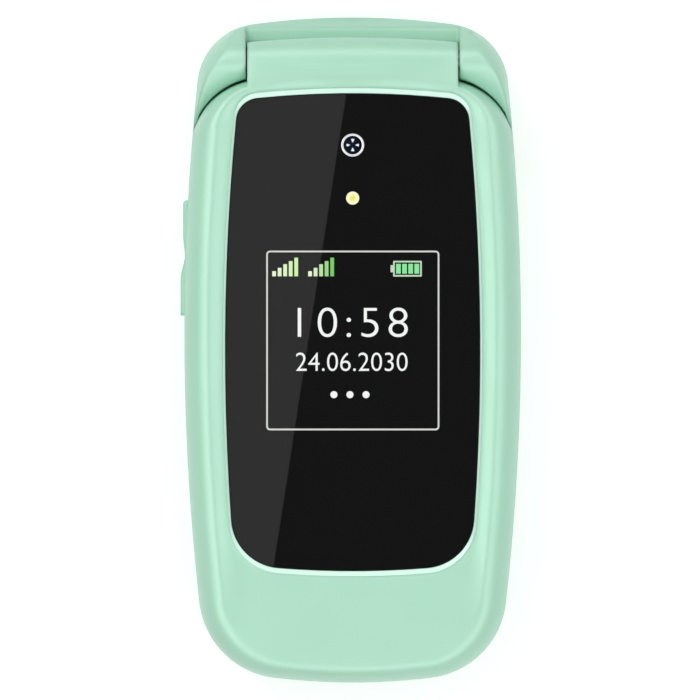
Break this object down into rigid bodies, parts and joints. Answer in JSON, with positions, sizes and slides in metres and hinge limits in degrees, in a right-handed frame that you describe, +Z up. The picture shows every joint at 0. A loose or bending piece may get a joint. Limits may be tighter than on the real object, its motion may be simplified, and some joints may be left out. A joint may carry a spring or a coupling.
{
  "type": "flip phone",
  "caption": "Mint green clamshell phone, closed, with a dark outer window, a round camera over it and a keypad inside.",
  "frame": {"origin": "middle of the flat rear face that the closed phone lies on", "axes": "+X to the right seen from above, +Y towards the hinge end, +Z up through the lid"},
  "size_m": [0.0534, 0.1042, 0.0201],
  "materials": {
    "mint_plastic": "satin",
    "inner_mint": "satin",
    "window_black": "polished",
    "screen_black": "polished",
    "ring_silver": "polished",
    "lens_glass": "polished",
    "black_plastic": "matt",
    "flash_yellow": "translucent",
    "key_mint": "satin",
    "key_metal": "satin silver",
    "board_green": "solder mask",
    "steel": "satin",
    "screw_steel": "black oxide",
    "rubber_grey": "matt",
    "silicone": "matt",
    "battery_wrap": "matt",
    "gold": "plated",
    "polyester": "clear foil"
  },
  "bodies": {
    "base": {"keypad_shell": "mint_plastic", "rear_shell": "mint_plastic", "main_board": "board_green", "shield_can": "steel", "battery": "battery_wrap", "battery_contacts": "gold", "card_sockets": "steel", "loudspeaker": "black_plastic", "microphone": "steel", "antenna": "black_plastic", "usb_socket": "steel", "headphone_jack": "black_plastic", "case_screws": "screw_steel", "dome_foil": "polyester", "keypad_mat": "silicone", "rocker_switches": "steel", "hinge_shaft": "steel", "hinge_bush": "black_plastic"},
    "lid": {"lid_outer_shell": "mint_plastic", "lid_inner_shell": "inner_mint", "outer_window": "window_black", "outer_display": "screen_black", "camera_ring": "ring_silver", "camera_lens": "lens_glass", "camera_module": "black_plastic", "flash_led": "flash_yellow", "inner_window": "window_black", "main_display": "screen_black", "lid_board": "board_green", "earpiece_mesh": "screw_steel", "earpiece_speaker": "black_plastic", "vibration_motor": "steel", "closing_magnet": "steel", "lid_bumpers": "rubber_grey", "lid_screws": "screw_steel", "screw_caps": "rubber_grey", "hinge_cartridge": "steel"},
    "key_1": {"key_1": "key_mint"},
    "key_2": {"key_2": "key_mint"},
    "key_3": {"key_3": "key_mint"},
    "key_4": {"key_4": "key_mint"},
    "key_5": {"key_5": "key_mint"},
    "key_6": {"key_6": "key_mint"},
    "key_7": {"key_7": "key_mint"},
    "key_8": {"key_8": "key_mint"},
    "key_9": {"key_9": "key_mint"},
    "key_star": {"key_star": "key_mint"},
    "key_0": {"key_0": "key_mint"},
    "key_hash": {"key_hash": "key_mint"},
    "key_soft_left": {"key_soft_left": "key_mint"},
    "key_soft_right": {"key_soft_right": "key_mint"},
    "key_call": {"key_call": "key_mint"},
    "key_end": {"key_end": "key_mint"},
    "key_ok": {"key_ok": "key_metal"},
    "nav_pad": {"nav_pad": "silicone"},
    "nav_ring": {"nav_ring": "key_metal"},
    "volume_rocker": {"volume_rocker": "mint_plastic"},
    "battery_cover": {"battery_cover": "mint_plastic"}
  },
  "joints": [
    {"name": "lid_hinge", "type": "hinge", "parent": "base", "child": "lid", "pos_m": [0, 0.04545, 0.01625], "axis": [-1, 0, 0], "range_deg": [0, 155]},
    {"name": "key_1_press", "type": "slide", "parent": "base", "child": "key_1", "axis": [0, 0, -1], "range_m": [0, 0.0004], "stiffness_N_per_m": 2000, "springref_m": -0.0001},
    {"name": "key_2_press", "type": "slide", "parent": "base", "child": "key_2", "axis": [0, 0, -1], "range_m": [0, 0.0004], "stiffness_N_per_m": 2000, "springref_m": -0.0001},
    {"name": "key_3_press", "type": "slide", "parent": "base", "child": "key_3", "axis": [0, 0, -1], "range_m": [0, 0.0004], "stiffness_N_per_m": 2000, "springref_m": -0.0001},
    {"name": "key_4_press", "type": "slide", "parent": "base", "child": "key_4", "axis": [0, 0, -1], "range_m": [0, 0.0004], "stiffness_N_per_m": 2000, "springref_m": -0.0001},
    {"name": "key_5_press", "type": "slide", "parent": "base", "child": "key_5", "axis": [0, 0, -1], "range_m": [0, 0.0004], "stiffness_N_per_m": 2000, "springref_m": -0.0001},
    {"name": "key_6_press", "type": "slide", "parent": "base", "child": "key_6", "axis": [0, 0, -1], "range_m": [0, 0.0004], "stiffness_N_per_m": 2000, "springref_m": -0.0001},
    {"name": "key_7_press", "type": "slide", "parent": "base", "child": "key_7", "axis": [0, 0, -1], "range_m": [0, 0.0004], "stiffness_N_per_m": 2000, "springref_m": -0.0001},
    {"name": "key_8_press", "type": "slide", "parent": "base", "child": "key_8", "axis": [0, 0, -1], "range_m": [0, 0.0004], "stiffness_N_per_m": 2000, "springref_m": -0.0001},
    {"name": "key_9_press", "type": "slide", "parent": "base", "child": "key_9", "axis": [0, 0, -1], "range_m": [0, 0.0004], "stiffness_N_per_m": 2000, "springref_m": -0.0001},
    {"name": "key_star_press", "type": "slide", "parent": "base", "child": "key_star", "axis": [0, 0, -1], "range_m": [0, 0.0004], "stiffness_N_per_m": 2000, "springref_m": -0.0001},
    {"name": "key_0_press", "type": "slide", "parent": "base", "child": "key_0", "axis": [0, 0, -1], "range_m": [0, 0.0004], "stiffness_N_per_m": 2000, "springref_m": -0.0001},
    {"name": "key_hash_press", "type": "slide", "parent": "base", "child": "key_hash", "axis": [0, 0, -1], "range_m": [0, 0.0004], "stiffness_N_per_m": 2000, "springref_m": -0.0001},
    {"name": "key_soft_left_press", "type": "slide", "parent": "base", "child": "key_soft_left", "axis": [0, 0, -1], "range_m": [0, 0.0004], "stiffness_N_per_m": 2000, "springref_m": -0.0001},
    {"name": "key_soft_right_press", "type": "slide", "parent": "base", "child": "key_soft_right", "axis": [0, 0, -1], "range_m": [0, 0.0004], "stiffness_N_per_m": 2000, "springref_m": -0.0001},
    {"name": "key_call_press", "type": "slide", "parent": "base", "child": "key_call", "axis": [0, 0, -1], "range_m": [0, 0.0004], "stiffness_N_per_m": 2000, "springref_m": -0.0001},
    {"name": "key_end_press", "type": "slide", "parent": "base", "child": "key_end", "axis": [0, 0, -1], "range_m": [0, 0.0004], "stiffness_N_per_m": 2000, "springref_m": -0.0001},
    {"name": "key_ok_press", "type": "slide", "parent": "base", "child": "key_ok", "axis": [0, 0, -1], "range_m": [0, 0.0004], "stiffness_N_per_m": 2000, "springref_m": -0.0001},
    {"name": "nav_up_down", "type": "hinge", "parent": "base", "child": "nav_pad", "pos_m": [0, 0.02675, 0.00885], "axis": [1, 0, 0], "range_deg": [-1, 1], "stiffness_Nm_per_rad": 0.5},
    {"name": "nav_left_right", "type": "hinge", "parent": "nav_pad", "child": "nav_ring", "pos_m": [0, 0.02675, 0.00995], "axis": [0, 1, 0], "range_deg": [-1, 1], "stiffness_Nm_per_rad": 0.5},
    {"name": "volume_rock", "type": "hinge", "parent": "base", "child": "volume_rocker", "pos_m": [-0.02418, 0.01445, 0.0094], "axis": [0, 0, 1], "range_deg": [-1, 1], "stiffness_Nm_per_rad": 0.3},
    {"name": "cover_slide", "type": "slide", "parent": "base", "child": "battery_cover", "axis": [0, -1, 0], "range_m": [0, 0.01]}
  ]
}
